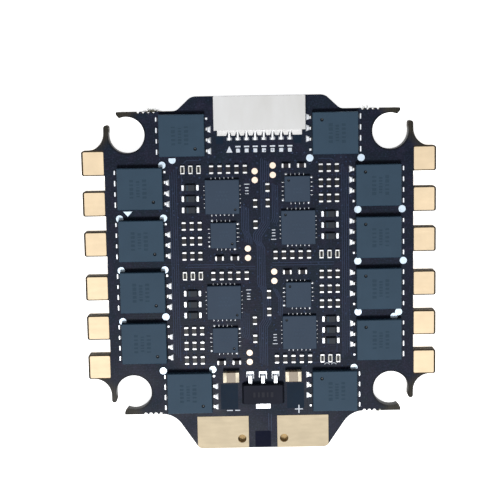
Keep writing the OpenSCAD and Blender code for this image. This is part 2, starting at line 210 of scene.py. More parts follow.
class Finish:
    """A material under construction: a principled shader with its colour and bump chains."""

    def __init__(self, name, roughness, metallic=0.0, specular=0.5):
        self.material = bpy.data.materials.new(name)
        self.material.use_nodes = True
        self.tree = self.material.node_tree
        self.shader = self.tree.nodes["Principled BSDF"]
        self.shader.inputs["Roughness"].default_value = roughness
        self.shader.inputs["Metallic"].default_value = metallic
        self.shader.inputs["Specular IOR Level"].default_value = specular
        self.place = self.add("ShaderNodeTexCoord").outputs["Object"]
        self.bumps = None

    def add(self, kind, **settings):
        node = self.tree.nodes.new(kind)
        for key, value in settings.items():
            setattr(node, key, value)
        return node

    def link(self, source, target):
        self.tree.links.new(source, target)

    def stretch(self, x, y, z):
        node = self.add("ShaderNodeMapping")
        node.inputs["Scale"].default_value = (x, y, z)
        self.link(self.place, node.inputs["Vector"])
        return node.outputs["Vector"]

    def noise(self, per_mm, detail=3.0, rough=0.55, place=None):
        node = self.add("ShaderNodeTexNoise")
        node.inputs["Scale"].default_value = per_mm / MM
        node.inputs["Detail"].default_value = detail
        node.inputs["Roughness"].default_value = rough
        self.link(place or self.place, node.inputs["Vector"])
        return node.outputs["Fac"]

    def vector(self, operation, a, b=None, out="Vector"):
        node = self.add("ShaderNodeVectorMath", operation=operation)
        self.link(a, node.inputs[0])
        if b is not None:
            node.inputs[1].default_value = b
        return node.outputs[out]

    def bands(self, per_mm, direction, distortion=1.0):
        node = self.add("ShaderNodeTexWave", bands_direction=direction)
        node.inputs["Scale"].default_value = per_mm / MM
        node.inputs["Distortion"].default_value = distortion
        self.link(self.place, node.inputs["Vector"])
        return node.outputs["Fac"]

    def ramp(self, fac, *stops):
        node = self.add("ShaderNodeValToRGB")
        elements = node.color_ramp.elements
        while len(elements) < len(stops):
            elements.new(0.5)
        for element, (position, colour) in zip(elements, stops):
            element.position = position
            element.color = colour
        self.link(fac, node.inputs["Fac"])
        return node.outputs["Color"]

    def mix(self, fac, a, b):
        node = self.add("ShaderNodeMix", data_type="RGBA")
        for value, socket in ((fac, node.inputs[0]), (a, node.inputs[6]), (b, node.inputs[7])):
            if hasattr(value, "is_output"):
                self.link(value, socket)
            else:
                socket.default_value = value
        return node.outputs[2]

    def range(self, value, low_in, high_in, low, high):
        node = self.add("ShaderNodeMapRange")
        limits = {"From Min": low_in, "From Max": high_in, "To Min": low, "To Max": high}
        for key, number in limits.items():
            node.inputs[key].default_value = number
        self.link(value, node.inputs["Value"])
        return node.outputs["Result"]

    def bump(self, height, strength, depth_mm):
        node = self.add("ShaderNodeBump")
        node.inputs["Strength"].default_value = strength
        node.inputs["Distance"].default_value = depth_mm * MM
        self.link(height, node.inputs["Height"])
        if self.bumps:
            self.link(self.bumps, node.inputs["Normal"])
        self.bumps = node.outputs["Normal"]

    def done(self, colour=None, roughness=None):
        if colour is not None:
            self.link(colour, self.shader.inputs["Base Color"])
        if roughness is not None:
            self.link(roughness, self.shader.inputs["Roughness"])
        if self.bumps:
            self.link(self.bumps, self.shader.inputs["Normal"])
        return self.material


def shade(colour, factor):
    """A lighter or darker version of a linear colour."""
    return tuple(c * factor for c in colour[:3]) + (1.0,)


def grained(name, colour, roughness, grain_per_mm, depth_mm, vary=0.12, specular=0.5):
    """A material with broad colour drift, fine grain and uneven gloss."""
    f = Finish(name, roughness, specular=specular)
    broad = f.noise(0.35, 2)
    fine = f.noise(grain_per_mm, 4, 0.65)
    drift = f.ramp(broad, (0.3, shade(colour, 1 - vary)), (0.7, shade(colour, 1 + vary)))
    speck = f.ramp(fine, (0.35, shade(colour, 1 - vary)), (0.7, shade(colour, 1 + 1.5 * vary)))
    f.bump(fine, 0.5, depth_mm)
    gloss = f.range(fine, 0.3, 0.7, roughness * 0.85, min(1, roughness * 1.15))
    return f.done(f.mix(0.5, drift, speck), gloss)


MASK = srgb(27, 33, 50)
FIBRE = srgb(78, 66, 46)
# The mounting holes' distance from each middle line, and their radius
HOLE_AT = 15.25
HOLE_R = 2.1
# Where the mask thins out on the arms, as the sum of the distances from both middle lines
ARMS_FROM = 31.3
ARMS_TO = 32.8


def mask_finish():
    """Dark solder mask over woven glass and copper, mottled where either shows through.

    It thins out to bare laminate on the arms and darkens round the mounting holes.
    """
    f = Finish("solder_mask", 0.38, specular=0.07)
    weave_x = f.bands(1.1, "X", 0.6)
    weave_y = f.bands(1.1, "Y", 0.6)
    cloud = f.noise(0.22, 3)
    patch = f.noise(0.9, 4, 0.6)
    fine = f.noise(5, 5, 0.65)
    colour = f.ramp(cloud, (0.3, shade(MASK, 0.8)), (0.55, MASK), (0.75, srgb(28, 43, 56)))
    colour = f.mix(f.range(patch, 0.5, 0.72, 0.0, 0.6), colour, srgb(46, 43, 64))
    colour = f.mix(f.range(patch, 0.5, 0.3, 0.0, 0.6), colour, srgb(22, 38, 48))
    colour = f.mix(f.range(fine, 0.52, 0.75, 0.0, 0.75), colour, shade(MASK, 3.4))
    colour = f.mix(f.range(fine, 0.48, 0.3, 0.0, 0.5), colour, shade(MASK, 0.4))
    quarter = f.vector("ABSOLUTE", f.place)
    from_hole = f.vector("SUBTRACT", quarter, (HOLE_AT * MM, HOLE_AT * MM, 0))
    from_hole = f.vector("LENGTH", f.vector("MULTIPLY", from_hole, (1 / MM, 1 / MM, 0)), out="Value")
    rim = f.range(from_hole, HOLE_R + 0.28, HOLE_R + 0.06, 0.0, 0.7)
    colour = f.mix(rim, colour, srgb(12, 13, 18))
    along_arm = f.vector("DOT_PRODUCT", quarter, (1 / MM, 1 / MM, 0), "Value")
    bare = f.ramp(patch, (0.3, srgb(34, 33, 32)), (0.7, srgb(64, 61, 54)))
    bare = f.mix(f.range(weave_x, 0.4, 0.9, 0.0, 0.35), bare, srgb(78, 72, 60))
    colour = f.mix(f.range(along_arm, ARMS_FROM, ARMS_TO, 0.0, 1.0), colour, bare)
    f.bump(weave_x, 0.25, 0.004)
    f.bump(weave_y, 0.25, 0.004)
    f.bump(fine, 0.35, 0.006)
    return f.done(colour, f.range(cloud, 0.3, 0.7, 0.3, 0.48))


def laminate_finish():
    """Routed edge of glass and resin layers."""
    f = Finish("laminate_edge", 0.7, specular=0.3)
    layers = f.bands(1.6, "Z", 1.5)
    fuzz = f.noise(5, 4)
    scorch = f.noise(0.9, 3)
    colour = f.ramp(layers, (0.2, shade(FIBRE, 0.55)), (0.6, FIBRE), (0.9, shade(FIBRE, 1.35)))
    colour = f.mix(f.range(scorch, 0.4, 0.7, 0.0, 0.6), colour, shade(FIBRE, 0.35))
    f.bump(layers, 0.5, 0.02)
    f.bump(fuzz, 0.6, 0.02)
    return f.done(colour, f.range(fuzz, 0.3, 0.7, 0.6, 0.9))


def gold_finish(name, colour, roughness):
    """Immersion gold over plated copper, faintly grained and rubbed."""
    f = Finish(name, roughness, metallic=0.65, specular=0.4)
    cloud = f.noise(0.3, 3)
    grain = f.noise(9, 5, 0.7)
    rub = f.noise(3, 3, 0.6, f.stretch(0.15, 1, 1))
    base = f.ramp(cloud, (0.3, shade(colour, 0.92)), (0.7, shade(colour, 1.06)))
    base = f.mix(f.range(grain, 0.55, 0.8, 0.0, 0.35), base, shade(colour, 0.7))
    f.bump(grain, 0.35, 0.004)
    f.bump(rub, 0.05, 0.004)
    return f.done(base, f.range(rub, 0.3, 0.7, roughness * 0.97, roughness * 1.03))


def tin_finish(name, colour, roughness, pit=0.012, metallic=0.7):
    """Reflowed solder or tinned metal, a little dimpled and cloudy."""
    f = Finish(name, roughness, metallic, specular=0.6)
    cloud = f.noise(1.2, 3)
    pits = f.noise(5, 4)
    base = f.ramp(cloud, (0.3, shade(colour, 0.82)), (0.7, colour))
    f.bump(pits, 0.5, pit)
    return f.done(base, f.range(cloud, 0.3, 0.7, roughness * 0.7, roughness * 1.3))


def nylon_finish():
    """Moulded nylon with a faint flow pattern and fine texture."""
    f = Finish("connector_nylon", 0.42, specular=0.4)
    f.shader.inputs["Subsurface Weight"].default_value = 0.08
    f.shader.inputs["Subsurface Radius"].default_value = (0.0006, 0.0006, 0.0006)
    flow = f.noise(0.5, 3, 0.5, f.stretch(1, 0.3, 1))
    fine = f.noise(14, 3)
    colour = f.ramp(flow, (0.3, srgb(234, 233, 231)), (0.7, srgb(244, 244, 244)))
    f.bump(fine, 0.3, 0.004)
    return f.done(colour, f.range(flow, 0.3, 0.7, 0.36, 0.5))


def ink_finish():
    """Printed legend ink, slightly broken up at its edges."""
    f = Finish("legend_ink", 0.65, specular=0.3)
    worn = f.noise(8, 4)
    colour = f.ramp(worn, (0.3, srgb(196, 206, 224)), (0.5, srgb(240, 246, 255)))
    f.bump(worn, 0.3, 0.004)
    return f.done(colour)


solder_mask = mask_finish()
laminate_edge = laminate_finish()
gold = gold_finish("tab_gold", srgb(241, 220, 187), 0.62)
test_gold = gold_finish("test_pad_gold", srgb(250, 230, 212), 0.55)
battery_gold = gold_finish("battery_gold", srgb(200, 186, 160), 0.64)
solder = tin_finish("solder", srgb(240, 244, 250), 0.4)
dot_solder = tin_finish("dot_solder", srgb(198, 214, 228), 0.42)
tinned = tin_finish("tinned_lead", srgb(236, 237, 238), 0.42, 0.004, 0.6)
cap_end = tin_finish("capacitor_end", srgb(214, 203, 180), 0.5, 0.004, 0.35)
# A dark grey metal that paints the shade at the roots of leads, next to their packages
root_shade_tin = tin_finish("root_shade_tin", srgb(62, 64, 68), 0.6, 0.006, 0.5)
power_package = grained("power_package", srgb(57, 79, 98), 0.55, 16, 0.006, 0.1, 0.14)
chip_package = grained("chip_package", srgb(60, 75, 94), 0.55, 18, 0.005, 0.08, 0.14)
diode_package = grained("diode_package", srgb(52, 57, 65), 0.5, 14, 0.006, 0.14, 0.15)
# The shaded floor seen through the battery pads' holes, painted on the plugs that fill them
painted_hole_shade = grained("painted_hole_shade", srgb(188, 160, 112), 0.6, 12, 0.02, 0.2, 0.3)
regulator_epoxy = grained("regulator_epoxy", srgb(41, 43, 54), 0.6, 14, 0.006, 0.16, 0.05)
regulator_mark = grained("regulator_mark", srgb(56, 57, 65), 0.6, 14, 0.004, 0.1, 0.05)
# Glossy epoxy in the pin-1 dimples; its dark colour paints the shade and dark reflection in the recess
dimple_gloss_and_shade = grained("dimple_gloss_and_shade", srgb(14, 22, 30), 0.3, 10, 0.002, 0.1, 0.3)
laser_mark = grained("laser_mark", srgb(52, 73, 90), 0.6, 20, 0.004, 0.1, 0.12)
chip_mark = grained("chip_mark", srgb(66, 81, 100), 0.65, 20, 0.004, 0.1, 0.14)
tan_ceramic = grained("tan_ceramic", srgb(158, 140, 116), 0.42, 12, 0.005, 0.12)
dark_ceramic = grained("dark_ceramic", srgb(34, 32, 40), 0.42, 12, 0.005, 0.12, 0.2)
alumina = grained("alumina", srgb(232, 232, 224), 0.5, 14, 0.005, 0.08)
black_glaze = grained("black_glaze", srgb(24, 25, 30), 0.35, 10, 0.003, 0.2, 0.2)
trace_mask = grained("trace_mask", srgb(48, 60, 86), 0.4, 8, 0.004, 0.14, 0.1)
plane_mask = grained("plane_mask", srgb(26, 41, 58), 0.45, 6, 0.004, 0.16, 0.04)
window_mask = grained("window_mask", srgb(20, 24, 44), 0.5, 6, 0.004, 0.16, 0.03)
loose_fibre = grained("loose_fibre", srgb(92, 90, 64), 0.6, 20, 0.004, 0.2)
nylon = nylon_finish()
ink = ink_finish()


# ---- Board ----

# The bare part of each side: out from the tabs' roots, and no further along than the last tab
TAB_ROOT_X = 17.95
TAB_END_Y = 13.52
EDGE_BEVEL = 0.05


def make_board():
    """The laminate with its mask faces, routed edges and bare tab borders."""
    bm = bmesh.new()
    bm.from_mesh(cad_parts["circuit_board"].data)
    bmesh.ops.remove_doubles(bm, verts=bm.verts, dist=1e-6)
    bmesh.ops.dissolve_limit(bm, angle_limit=math.radians(1), verts=bm.verts, edges=bm.edges)
    for axis, at in ((0, TAB_ROOT_X), (0, -TAB_ROOT_X), (1, TAB_END_Y), (1, -TAB_END_Y)):
        flat = [f for f in bm.faces if abs(f.normal.z) > 0.9]
        edges = {e for f in flat for e in f.edges}
        verts = {v for f in flat for v in f.verts}
        co, no = Vector(), Vector()
        co[axis], no[axis] = at * MM, 1
        bmesh.ops.bisect_plane(bm, geom=[*flat, *edges, *verts], dist=1e-7, plane_co=co, plane_no=no)
    for f in bm.faces:
        c = f.calc_center_median() / MM
        on_tab = abs(c.x) > TAB_ROOT_X and abs(c.y) < TAB_END_Y
        in_hole = math.hypot(abs(c.x) - HOLE_AT, abs(c.y) - HOLE_AT) < HOLE_R + EDGE_BEVEL
        f.material_index = 1 if (abs(f.normal.z) < 0.5 and not in_hole) or on_tab else 0
    mesh = bpy.data.meshes.new("board_laminate")
    bm.to_mesh(mesh)
    bm.free()
    for finish in (solder_mask, laminate_edge):
        mesh.materials.append(finish)
    obj = bpy.data.objects.new("board_laminate", mesh)
    bpy.context.scene.collection.objects.link(obj)
    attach(obj, "root")
    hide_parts("circuit_board")
    bevel = obj.modifiers.new("routed_edge", "BEVEL")
    bevel.width = EDGE_BEVEL * MM
    bevel.segments = 2
    bevel.limit_method = "ANGLE"
    bevel.angle_limit = math.radians(50)


def dress(node, finish, bevel_mm, segments=2):
    """Keeps a CAD node's own shape, with softened edges and a finish."""
    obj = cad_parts[node]
    obj.data.materials.clear()
    obj.data.materials.append(finish)
    weld = obj.modifiers.new("weld", "WELD")
    weld.merge_threshold = 1e-6
    bevel = obj.modifiers.new("soft_edge", "BEVEL")
    bevel.width = bevel_mm * MM
    bevel.segments = segments
    bevel.limit_method = "ANGLE"
    bevel.angle_limit = math.radians(40)
    return obj


# ---- Pads ----

PLATE_CORNER = 0.14
PLATE_EDGE = 0.02


def plate(shape, box):
    """A plated pad with rounded corners and a softened rim."""
    c, s = middle(box), size(box)
    hx, hy, high = s.x / 2, s.y / 2, box[1].z
    part = PLATE_EDGE * 0.3
    shape.loft([rounded(c.x, c.y, hx, hy, PLATE_CORNER, box[0].z),
                rounded(c.x, c.y, hx, hy, PLATE_CORNER, high - PLATE_EDGE),
                rounded(c.x, c.y, hx - part, hy - part, PLATE_CORNER, high - part),
                rounded(c.x, c.y, hx - PLATE_EDGE, hy - PLATE_EDGE, PLATE_CORNER, high)])


def make_motor_pads(corner):
    """The plates on both faces of the three tabs at one corner of the board."""
    node = f"motor_pads_{corner}"
    shape, under = Shape(), Shape()
    for box in solids(node):
        if middle(box).z > TOP:
            plate(shape, box)
        else:
            plate(under, as_on_top(box))
    shape.merge(under.flip())
    piece(f"motor_pad_plates_{corner}", shape, [gold], [node])


# ---- Packages ----

BODY, MARK, PIT = range(3)
# Extra points along each side of a package, so that its top can close round the dimple
SIDE_POINTS = 7


def package(shape, box, dimple, dimple_r, chamfer, draft):
    """A moulded package with drafted sides, a chamfered rim and a pin-1 dimple."""
    c, s = middle(box), size(box)
    hx, hy, low, high = s.x / 2, s.y / 2, box[0].z, box[1].z
    waist = low + 0.35 * (high - low)
    rings = [rounded(c.x, c.y, hx - draft, hy - draft, 0.06, low, 2, SIDE_POINTS),
             rounded(c.x, c.y, hx, hy, 0.06, waist, 2, SIDE_POINTS),
             rounded(c.x, c.y, hx - draft, hy - draft, 0.06, high - chamfer, 2, SIDE_POINTS),
             rounded(c.x, c.y, hx - draft - chamfer, hy - draft - chamfer, 0.06, high, 2, SIDE_POINTS)]
    rim = shape.loft(rings, BODY, lid=False)
    at = Vector((c.x + dimple[0], c.y + dimple[1], high))
    spokes = [(shape.points[i] - at).normalized() for i in rim]
    edge = shape.ring([at + d * dimple_r for d in spokes])
    shape.join(rim, edge, BODY)
    slope = shape.ring([at + d * dimple_r * 0.8 - Vector((0, 0, 0.04)) for d in spokes])
    shape.join(edge, slope, PIT, True)
    floor = shape.ring([at + d * dimple_r * 0.3 - Vector((0, 0, 0.055)) for d in spokes])
    shape.join(slope, floor, PIT, True)
    shape.face(floor, PIT, True)


MARK_T = 0.004


def tile(shape, x, y, hx, hy, z, finish=0, high=MARK_T, corner=0.02):
    """A very thin printed rectangle."""
    shape.loft([rounded(x, y, hx, hy, corner, z, 1), rounded(x, y, hx, hy, corner, z + high, 1)], finish)


def dashes(shape, cx, cy, z, turn, rows, seed, upright=False):
    """Lines of short plain bars where a package would carry its marking."""
    pick = random.Random(seed)
    for offset, length, count, half in rows:
        step = length / count
        for k in range(count):
            w = step * pick.uniform(0.16, 0.42)
            along = turn * (-length / 2 + (k + 0.5) * step)
            across = turn * offset
            if upright:
                tile(shape, cx + across, cy + along, half, w, z, MARK)
            else:
                tile(shape, cx + along, cy + across, w, half, z, MARK)


# Rows of marks: place across the package, length, number of bars, half a bar's height
MOSFET_MARKS = ((-0.95, 2.4, 5, 0.22), (-0.2, 2.0, 6, 0.2), (0.55, 2.4, 5, 0.24))
DRIVER_MARKS = ((0.6, 1.6, 4, 0.1), (0.15, 1.2, 3, 0.1), (-0.3, 1.5, 4, 0.1))
MCU_MARKS = ((0.4, 1.2, 3, 0.09), (0.0, 1.0, 3, 0.09))


def make_mosfet(side, number):
    """One power transistor. Those with even numbers are turned half round."""
    node = f"mosfet_{side}_{number}"
    box = as_on_top(whole(node), side == "under")
    box[1].z -= MARK_T
    turn = 1 if number % 2 else -1
    c, s = middle(box), size(box)
    shape = Shape()
    package(shape, box, (turn * (s.x / 2 - 1.1), turn * (0.88 - s.y / 2)), 0.2, 0.07, 0.03)
    dashes(shape, c.x, c.y, box[1].z, turn, MOSFET_MARKS, number, upright=True)
    if side == "under":
        shape.flip()
    finishes = [power_package, laser_mark, dimple_gloss_and_shade]
    piece(f"transistor_{side}_{number}", shape, finishes, [node])


def make_chip(kind, number, marks):
    """One gate driver or microcontroller package."""
    node = f"{kind}_{number}"
    box = whole(node)
    turn = 1 if number % 2 else -1
    c, s = middle(box), size(box)
    shape = Shape()
    package(shape, box, (turn * (s.x / 2 - 0.5), turn * (0.5 - s.y / 2)), 0.16, 0.05, 0.015)
    dashes(shape, c.x, c.y, box[1].z, turn, marks, number)
    finishes = [chip_package, chip_mark, dimple_gloss_and_shade]
    piece(f"{kind}_package_{number}", shape, finishes, [node])


# ---- Solder and leads ----

def wedge(shape, inner, outer, y, half_in, half_out, high_in, high_out):
    """Solder that spreads from a narrow end at a lead to a wide low end on its pad."""
    sign = 1 if outer > inner else -1
    along = [0.0, 0.25, 0.5, 0.75, 1.0]

    def ring(grow, lift):
        side = [(inner + (outer - inner) * t + sign * (grow if t == 1 else -grow if t == 0 else 0),
                 half_in + (half_out - half_in) * t + grow,
                 TOP + lift * (high_in + (high_out - high_in) * t ** 0.7)) for t in along]
        points = [(x, y - w, h) for x, w, h in side] + [(x, y + w, h) for x, w, h in reversed(side)]
        return points if sign > 0 else points[::-1]

    shape.loft([ring(0, 0), ring(0, 0.45), ring(-0.03, 0.8), ring(-0.07, 1)])


def blob(shape, cx, cy, hx, hy, high, corner=0.6):
    """A low dome of solder on a rounded pad."""
    r = min(hx, hy) * corner
    shape.loft([rounded(cx, cy, hx, hy, r, TOP),
                rounded(cx, cy, hx * 0.97, hy * 0.97, r, TOP + high * 0.35),
                rounded(cx, cy, hx * 0.8, hy * 0.8, r * 0.8, TOP + high * 0.75),
                rounded(cx, cy, hx * 0.45, hy * 0.45, r * 0.45, TOP + high)], smooth=True)


PAT_CORNER = 0.06


def pat(shape, cx, cy, hx, hy, high, inset=0.08):
    """A flat-topped block of solder with rounded edges."""
    part = inset * 0.4
    shape.loft([rounded(cx, cy, hx, hy, PAT_CORNER, TOP),
                rounded(cx, cy, hx, hy, PAT_CORNER, TOP + high * 0.5),
                rounded(cx, cy, hx - part, hy - part, PAT_CORNER, TOP + high * 0.85),
                rounded(cx, cy, hx - inset, hy - inset, PAT_CORNER - 0.01, TOP + high)])


STEM_CORNER = 0.03
STEM_EDGE = 0.02


def stem(shape, start, end, y, half, high, finish):
    """A stamped lead that runs along X at board level, from one place to another."""
    x, hx = (start + end) / 2, abs(end - start) / 2
    shape.loft([rounded(x, y, hx - STEM_EDGE, half - STEM_EDGE, STEM_CORNER, TOP, 2),
                rounded(x, y, hx, half, STEM_CORNER, TOP + STEM_EDGE, 2),
                rounded(x, y, hx, half, STEM_CORNER, TOP + high - STEM_EDGE, 2),
                rounded(x, y, hx - STEM_EDGE, half - STEM_EDGE, STEM_CORNER, TOP + high, 2)], finish)


def nearest(point, places):
    """The place that comes closest to a point, seen from above."""
    return min(places, key=lambda p: (p.xy - point.xy).length)


# Finishes of the metal on a lead, after the solder that comes first: tinned metal, and a dark grey that
# paints the shade at a lead's root beside its package
TINNED, ROOT_SHADE = 1, 2
# A source lead is longer than this, and a gate lead is narrower than this
SOURCE_LEAD_MIN = 0.6
GATE_LEAD_MAX = 0.5


def make_mosfet_leads(side):
    """Source leads in spreading solder, the gate lead in a small block and the drain's slivers, each lead
    starting in a dark stem at its root that paints the shade beside the package.
    """
    node = f"mosfet_leads_{side}"
    centres = [middle(whole(f"mosfet_{side}_{i}")) for i in range(1, 13)]
    pick = random.Random(side)
    shape = Shape()
    for box in solids(node):
        box = as_on_top(box, side == "under")
        c, s = middle(box), size(box)
        out = 1 if c.x > nearest(c, centres).x else -1
        root, tip = c.x - out * s.x / 2, c.x + out * s.x / 2
        jitter = pick.uniform(0.9, 1.1)
        # A dark stem at the lead's root: painted shade beside the package
        stem(shape, root, root + out * 0.16, c.y, min(0.2, s.y * 0.36), s.z * 0.5, ROOT_SHADE)
        if s.x > SOURCE_LEAD_MIN:
            stem(shape, root + out * 0.13, root + out * 0.3, c.y + 0.06 * out, 0.17, s.z * jitter, TINNED)
            wedge(shape, root + out * 0.27, tip, c.y, 0.26, s.y / 2 * jitter, s.z * 0.7, 0.09)
        elif s.y < GATE_LEAD_MAX:
            pat(shape, root + out * 0.21, c.y, 0.15, 0.16 * jitter, s.z * 0.7, inset=0.05)
        else:
            half = s.y * pick.uniform(0.45, 0.64)
            pat(shape, tip - out * 0.12, c.y, 0.1, half, s.z * 0.5, inset=0.04)
    if side == "under":
        shape.flip()
    piece(f"transistor_leads_{side}", shape, [solder, tinned, root_shade_tin], [node])


def toward(away):
    """The step along X or Y that comes closest to a direction."""
    if abs(away.x) > abs(away.y):
        return Vector((math.copysign(1, away.x), 0))
    return Vector((0, math.copysign(1, away.y)))


CORNER_TERMINAL_MIN = 0.3


def make_terminals(kind, width, reach, side_reach):
    """Fillets of solder at the edge pads of the flat packages.

    They reach one distance out at the ends of the package and another at its sides.
    """
    pick = random.Random(kind)
    centres = [middle(whole(f"{kind}_{i}")) for i in range(1, 5)]
    shape = Shape()
    for box in solids(f"{kind}_terminals"):
        c, s = middle(box), size(box)
        away = c - nearest(c, centres)
        along_x = abs(away.x) > abs(away.y)
        out = toward(away)
        corner = max(s.x, s.y) > CORNER_TERMINAL_MIN
        half = (max(s.x, s.y) * 0.4 if corner else width / 2) * pick.uniform(0.85, 1.15)
        far = (side_reach if along_x else reach) * pick.uniform(0.85, 1.1) / 2
        at = c.xy + out * (far - min(s.x, s.y) / 2)
        hx, hy = (far, half) if along_x else (half, far)
        blob(shape, at.x, at.y, hx, hy, s.z * pick.uniform(0.6, 0.9))
    piece(f"{kind}_solder", shape, [solder], [f"{kind}_terminals"])


# ---- Two-ended chips ----

def ends_of(body, ends):
    """The two metal ends that belong to a chip's body."""
    c = middle(body)
    return sorted(ends, key=lambda e: (middle(e) - c).length)[:2]


METAL_SKIN = 0.012
METAL_EDGE = 0.03


def chip_metal(shape, body, end, fillet):
    """One metal end cap and the solder that climbs it."""
    c, e = middle(body), middle(end)
    s = size(end)
    along_x = abs(e.x - c.x) > abs(e.y - c.y)
    out = toward(e - c)
    low, high = end[0].z, end[1].z
    hx, hy = s.x / 2, s.y / 2
    wide = hy + METAL_SKIN if along_x else hy
    shape.loft([rounded(e.x, e.y, hx, wide, METAL_EDGE, low, 2),
                rounded(e.x, e.y, hx, wide, METAL_EDGE, high - 0.04, 2),
                rounded(e.x, e.y, hx - METAL_EDGE, hy - METAL_EDGE, METAL_EDGE, high + METAL_SKIN, 2)])
    half = (hx if along_x else hy)
    foot = e.xy + out * (half + fillet / 2)
    fx, fy = (fillet / 2 + 0.02, hy * 1.02) if along_x else (hx * 1.02, fillet / 2 + 0.02)
    rise = (high - low) * 0.55
    lean = out * (fillet * 0.35)
    waist, head = foot - lean * 0.5, foot - lean
    shape.loft([rounded(foot.x, foot.y, fx, fy, 0.06, low),
                rounded(waist.x, waist.y, fx * 0.85, fy * 0.92, 0.05, low + rise * 0.35),
                rounded(head.x, head.y, fx * 0.5, fy * 0.75, 0.04, low + rise)], 1, True)


CHIP_EDGE = 0.03


def chip_body(shape, body, finish):
    """The ceramic block of a chip, clear of the board and with softened long edges."""
    c, s = middle(body), size(body)
    hx, hy, low, high = s.x / 2 + 0.01, s.y / 2, body[0].z + 0.03, body[1].z
    shape.loft([rounded(c.x, c.y, hx, hy, 0.01, low, 1),
                rounded(c.x, c.y, hx, hy, 0.01, high - CHIP_EDGE, 1),
                rounded(c.x, c.y, hx - CHIP_EDGE * 0.3, hy - CHIP_EDGE, 0.01, high, 1)], finish)


# Bare margin beside the dark coat of a resistor, and how far the coat runs over its ends
FRAMED_GLAZE = (0.1, 0.1)
PLAIN_GLAZE = (0.012, 0)


def overglaze(shape, body, along_x, margin, over_ends):
    """The dark coat on a resistor's face, which leaves a margin of its white body bare."""
    c, s = middle(body), size(body)
    hx, hy = ((s.x / 2 + over_ends, s.y / 2 - margin) if along_x
              else (s.x / 2 - margin, s.y / 2 + over_ends))
    z = body[1].z
    shape.loft([rounded(c.x, c.y, hx, hy, 0.02, z - 0.01, 1),
                rounded(c.x, c.y, hx - 0.02, hy - 0.02, 0.02, z + 0.015, 1)], 1)


def in_short_row(c, centres):
    """True for a chip with a neighbour beside it but none in line with it."""
    gaps = [(abs(o.x - c.x), abs(o.y - c.y)) for o in centres if (o - c).length > 0.1]
    beside = any(dx < 1.2 and dy < 0.1 for dx, dy in gaps)
    in_line = any(dx < 0.1 and dy < 2.2 for dx, dy in gaps)
    return beside and not in_line


def make_chips(kind, node, finishes, ends, fillet, glazed=False):
    """Makes the bodies of a node's chips one piece, and returns the metal of their ends."""
    bodies = solids(node)
    centres = [middle(b) for b in bodies]
    shape, metal, below_shape, below_metal = (Shape() for _ in range(4))
    for body in bodies:
        below = middle(body).z < UNDER
        pair = [as_on_top(e, below) for e in ends_of(body, ends)]
        body = as_on_top(body, below)
        span = middle(pair[0]) - middle(pair[1])
        target, target_metal = (below_shape, below_metal) if below else (shape, metal)
        framed = glazed and in_short_row(middle(body), centres)
        chip_body(target, body, 1 if glazed and not framed else 0)
        if glazed:
            overglaze(target, body, abs(span.x) > abs(span.y), *(FRAMED_GLAZE if framed else PLAIN_GLAZE))
        for end in pair:
            chip_metal(target_metal, body, end, 0 if framed else fillet)
    shape.merge(below_shape.flip())
    metal.merge(below_metal.flip())
    piece(f"{kind}_bodies", shape, finishes, [node])
    return metal


def make_diodes():
    """Diode packages with a cathode bar, and the solder at both ends, each lead starting in a dark stem
    that paints the shade beside the body.
    """
    body_shape, lead_shape = Shape(), Shape()
    bodies = solids("bootstrap_diodes")
    centres = [middle(b) for b in bodies]
    for box in bodies:
        c, s = middle(box), size(box)
        hx, hy, low, high = s.x / 2, s.y / 2, box[0].z + 0.04, box[1].z
        body_shape.loft([rounded(c.x, c.y, hx - 0.05, hy - 0.05, 0.03, low, 1),
                         rounded(c.x, c.y, hx, hy, 0.03, low + 0.2, 1),
                         rounded(c.x, c.y, hx - 0.06, hy - 0.05, 0.03, high - 0.03, 1),
                         rounded(c.x, c.y, hx - 0.09, hy - 0.08, 0.03, high, 1)])
        bar = c.x - hx + 0.28
        body_shape.loft([rounded(bar, c.y, 0.06, hy - 0.09, 0.01, high, 1),
                         rounded(bar, c.y, 0.06, hy - 0.09, 0.01, high + MARK_T, 1)], 1)
    for box in solids("bootstrap_diode_leads"):
        c, s = middle(box), size(box)
        out = 1 if c.x > nearest(c, centres).x else -1
        root = c.x - out * s.x / 2
        # A dark stem at the lead's root (finish 1, the dark grey tin): painted shade beside the body
        stem(lead_shape, root, root + out * 0.14, c.y, s.y / 2 - 0.12, s.z, 1)
        pat(lead_shape, c.x + out * (s.x / 2 - 0.16), c.y, 0.17, s.y / 2 + 0.03, s.z * 0.95, inset=0.05)
    piece("bootstrap_diode_bodies", body_shape, [diode_package, laser_mark], ["bootstrap_diodes"])
    piece("bootstrap_diode_solder", lead_shape, [solder, root_shade_tin], ["bootstrap_diode_leads"])


# ---- Regulator ----

